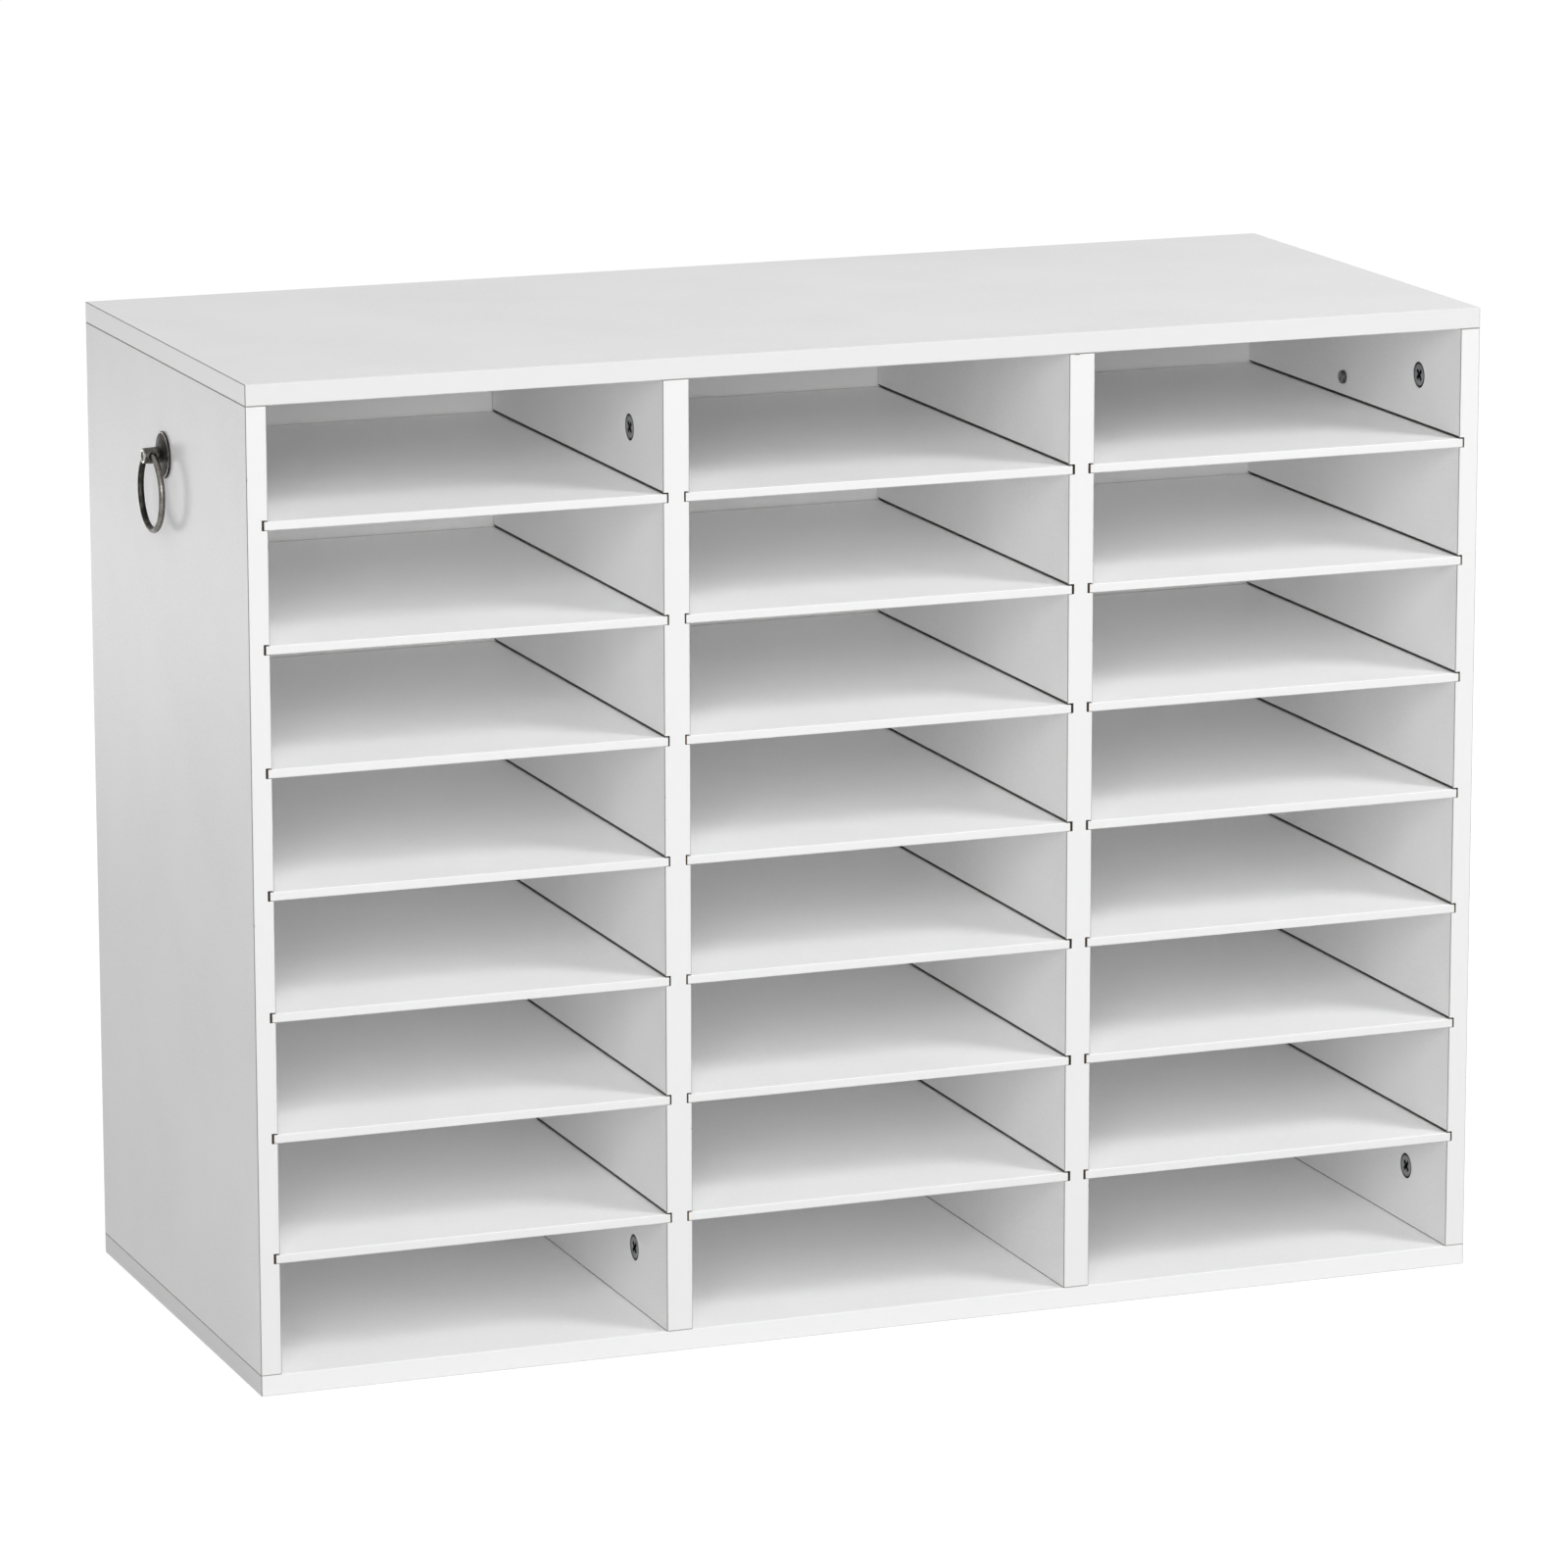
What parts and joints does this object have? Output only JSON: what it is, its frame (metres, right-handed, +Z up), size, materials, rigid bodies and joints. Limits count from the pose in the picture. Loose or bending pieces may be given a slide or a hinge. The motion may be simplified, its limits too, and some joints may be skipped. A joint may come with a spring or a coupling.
{
  "type": "literature organizer",
  "caption": "Open-fronted board organizer with columns of low, wide paper compartments, shelves that slide in grooves, and a hinged ring pull on each side.",
  "frame": {"origin": "on the surface the organizer stands on, under the middle of the carcass", "axes": "+X to the right seen from the front, +Y to the rear (the open front looks along -Y), +Z up"},
  "size_m": [0.7656, 0.314, 0.57],
  "materials": {
    "laminated_board": "white melamine on particleboard, satin, banded edges",
    "shelf_board": "white foil on thin fibreboard, satin",
    "hardboard": "hardboard, white lacquer in front and bare brown behind",
    "cam_zinc": "die-cast zinc, as cast",
    "plated_steel": "bright zinc plate",
    "beech_dowel": "bare beech",
    "pewter": "antique pewter plate on cast zinc, dark and rubbed bright"
  },
  "bodies": {
    "carcass": {"bottom_panel": "laminated_board", "top_panel": "laminated_board", "left_side_panel": "laminated_board", "left_divider": "laminated_board", "right_divider": "laminated_board", "right_side_panel": "laminated_board", "back_panel": "hardboard", "left_side_cams": "cam_zinc", "left_divider_cams": "cam_zinc", "right_divider_cams": "cam_zinc", "right_side_cams": "cam_zinc", "bottom_cam_bolts": "plated_steel", "top_cam_bolts": "plated_steel", "bottom_dowels": "beech_dowel", "top_dowels": "beech_dowel", "left_pull_rose": "pewter", "right_pull_rose": "pewter", "left_pull_screw": "plated_steel", "right_pull_screw": "plated_steel"},
    "shelf_left_1": {"shelf_left_1": "shelf_board"},
    "shelf_left_2": {"shelf_left_2": "shelf_board"},
    "shelf_left_3": {"shelf_left_3": "shelf_board"},
    "shelf_left_4": {"shelf_left_4": "shelf_board"},
    "shelf_left_5": {"shelf_left_5": "shelf_board"},
    "shelf_left_6": {"shelf_left_6": "shelf_board"},
    "shelf_left_7": {"shelf_left_7": "shelf_board"},
    "shelf_middle_1": {"shelf_middle_1": "shelf_board"},
    "shelf_middle_2": {"shelf_middle_2": "shelf_board"},
    "shelf_middle_3": {"shelf_middle_3": "shelf_board"},
    "shelf_middle_4": {"shelf_middle_4": "shelf_board"},
    "shelf_middle_5": {"shelf_middle_5": "shelf_board"},
    "shelf_middle_6": {"shelf_middle_6": "shelf_board"},
    "shelf_middle_7": {"shelf_middle_7": "shelf_board"},
    "shelf_right_1": {"shelf_right_1": "shelf_board"},
    "shelf_right_2": {"shelf_right_2": "shelf_board"},
    "shelf_right_3": {"shelf_right_3": "shelf_board"},
    "shelf_right_4": {"shelf_right_4": "shelf_board"},
    "shelf_right_5": {"shelf_right_5": "shelf_board"},
    "shelf_right_6": {"shelf_right_6": "shelf_board"},
    "shelf_right_7": {"shelf_right_7": "shelf_board"},
    "left_pull_ring": {"left_pull_ring": "pewter"},
    "right_pull_ring": {"right_pull_ring": "pewter"}
  },
  "joints": [
    {"name": "shelf_left_1_slide", "type": "slide", "parent": "carcass", "child": "shelf_left_1", "axis": [0, -1, 0], "range_m": [0, 0.3]},
    {"name": "shelf_left_2_slide", "type": "slide", "parent": "carcass", "child": "shelf_left_2", "axis": [0, -1, 0], "range_m": [0, 0.3]},
    {"name": "shelf_left_3_slide", "type": "slide", "parent": "carcass", "child": "shelf_left_3", "axis": [0, -1, 0], "range_m": [0, 0.3]},
    {"name": "shelf_left_4_slide", "type": "slide", "parent": "carcass", "child": "shelf_left_4", "axis": [0, -1, 0], "range_m": [0, 0.3]},
    {"name": "shelf_left_5_slide", "type": "slide", "parent": "carcass", "child": "shelf_left_5", "axis": [0, -1, 0], "range_m": [0, 0.3]},
    {"name": "shelf_left_6_slide", "type": "slide", "parent": "carcass", "child": "shelf_left_6", "axis": [0, -1, 0], "range_m": [0, 0.3]},
    {"name": "shelf_left_7_slide", "type": "slide", "parent": "carcass", "child": "shelf_left_7", "axis": [0, -1, 0], "range_m": [0, 0.3]},
    {"name": "shelf_middle_1_slide", "type": "slide", "parent": "carcass", "child": "shelf_middle_1", "axis": [0, -1, 0], "range_m": [0, 0.3]},
    {"name": "shelf_middle_2_slide", "type": "slide", "parent": "carcass", "child": "shelf_middle_2", "axis": [0, -1, 0], "range_m": [0, 0.3]},
    {"name": "shelf_middle_3_slide", "type": "slide", "parent": "carcass", "child": "shelf_middle_3", "axis": [0, -1, 0], "range_m": [0, 0.3]},
    {"name": "shelf_middle_4_slide", "type": "slide", "parent": "carcass", "child": "shelf_middle_4", "axis": [0, -1, 0], "range_m": [0, 0.3]},
    {"name": "shelf_middle_5_slide", "type": "slide", "parent": "carcass", "child": "shelf_middle_5", "axis": [0, -1, 0], "range_m": [0, 0.3]},
    {"name": "shelf_middle_6_slide", "type": "slide", "parent": "carcass", "child": "shelf_middle_6", "axis": [0, -1, 0], "range_m": [0, 0.3]},
    {"name": "shelf_middle_7_slide", "type": "slide", "parent": "carcass", "child": "shelf_middle_7", "axis": [0, -1, 0], "range_m": [0, 0.3]},
    {"name": "shelf_right_1_slide", "type": "slide", "parent": "carcass", "child": "shelf_right_1", "axis": [0, -1, 0], "range_m": [0, 0.3]},
    {"name": "shelf_right_2_slide", "type": "slide", "parent": "carcass", "child": "shelf_right_2", "axis": [0, -1, 0], "range_m": [0, 0.3]},
    {"name": "shelf_right_3_slide", "type": "slide", "parent": "carcass", "child": "shelf_right_3", "axis": [0, -1, 0], "range_m": [0, 0.3]},
    {"name": "shelf_right_4_slide", "type": "slide", "parent": "carcass", "child": "shelf_right_4", "axis": [0, -1, 0], "range_m": [0, 0.3]},
    {"name": "shelf_right_5_slide", "type": "slide", "parent": "carcass", "child": "shelf_right_5", "axis": [0, -1, 0], "range_m": [0, 0.3]},
    {"name": "shelf_right_6_slide", "type": "slide", "parent": "carcass", "child": "shelf_right_6", "axis": [0, -1, 0], "range_m": [0, 0.3]},
    {"name": "shelf_right_7_slide", "type": "slide", "parent": "carcass", "child": "shelf_right_7", "axis": [0, -1, 0], "range_m": [0, 0.3]},
    {"name": "left_pull_ring_swing", "type": "hinge", "parent": "carcass", "child": "left_pull_ring", "pos_m": [-0.378, 0, 0.50613], "axis": [0, 1, 0], "range_deg": [-8, 188]},
    {"name": "right_pull_ring_swing", "type": "hinge", "parent": "carcass", "child": "right_pull_ring", "pos_m": [0.378, 0, 0.50613], "axis": [0, -1, 0], "range_deg": [-8, 188]}
  ]
}
